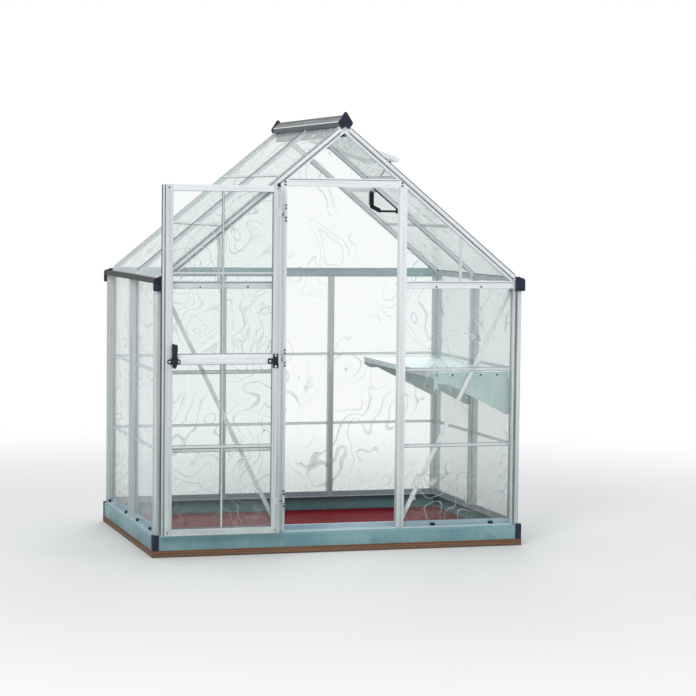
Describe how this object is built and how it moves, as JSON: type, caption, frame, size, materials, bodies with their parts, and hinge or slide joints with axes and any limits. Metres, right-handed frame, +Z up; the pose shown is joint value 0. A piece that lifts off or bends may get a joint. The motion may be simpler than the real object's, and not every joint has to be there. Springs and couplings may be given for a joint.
{
  "type": "hobby greenhouse",
  "caption": "Small gabled greenhouse with clear sheets in a slim metal frame, an open hinged door, a propped roof vent, a side shelf and a timber deck.",
  "frame": {"origin": "centre of the deck's underside, on the ground", "axes": "+Z up, +X across the gable to the right seen from the door, -Y out through the doorway"},
  "size_m": [1.85, 1.339, 2.1034],
  "materials": {
    "deck_wood": "weathered brown timber",
    "base_steel": "grey-green galvanised sheet",
    "frame_aluminium": "satin",
    "dark_metal": "satin dark grey",
    "black_plastic": "matt",
    "clear_sheet": "clear, slightly wavy",
    "shelf_steel": "galvanised sheet"
  },
  "bodies": {
    "greenhouse": {"deck_boards": "deck_wood", "deck_bearers": "deck_wood", "base_front": "base_steel", "base_rear": "base_steel", "base_sides": "base_steel", "base_corners": "black_plastic", "sill_front": "base_steel", "sill_rear": "base_steel", "side_sills": "base_steel", "sill_clips": "black_plastic", "front_corner_posts": "frame_aluminium", "rear_corner_posts": "frame_aluminium", "door_jambs": "frame_aluminium", "door_lintel": "frame_aluminium", "front_eave_rails": "frame_aluminium", "rear_studs": "frame_aluminium", "rear_eave_beam": "frame_aluminium", "side_studs": "frame_aluminium", "gutters": "dark_metal", "eave_caps": "black_plastic", "front_rafters": "frame_aluminium", "middle_rafters": "frame_aluminium", "rear_rafters": "frame_aluminium", "ridge_beam": "dark_metal", "ridge_caps": "black_plastic", "wall_glazing_bars": "clear_sheet", "roof_glazing_bars": "clear_sheet", "front_panes": "clear_sheet", "rear_panes": "clear_sheet", "side_panes": "clear_sheet", "roof_panes": "clear_sheet", "wall_braces": "frame_aluminium", "vent_sill": "frame_aluminium", "vent_flap": "frame_aluminium", "vent_pane": "clear_sheet", "vent_opener": "black_plastic", "shelf_trays": "shelf_steel", "shelf_brackets": "shelf_steel", "hinge_pins": "frame_aluminium"},
    "door": {"door_stiles": "frame_aluminium", "door_rails": "frame_aluminium", "door_centre_bars": "clear_sheet", "door_panes": "clear_sheet", "door_handles": "black_plastic", "door_hinges": "frame_aluminium"}
  },
  "joints": [
    {"name": "door_swing", "type": "hinge", "parent": "greenhouse", "child": "door", "pos_m": [-0.3, -0.652, 0.932], "axis": [0, 0, 1], "range_deg": [0, 180]}
  ]
}
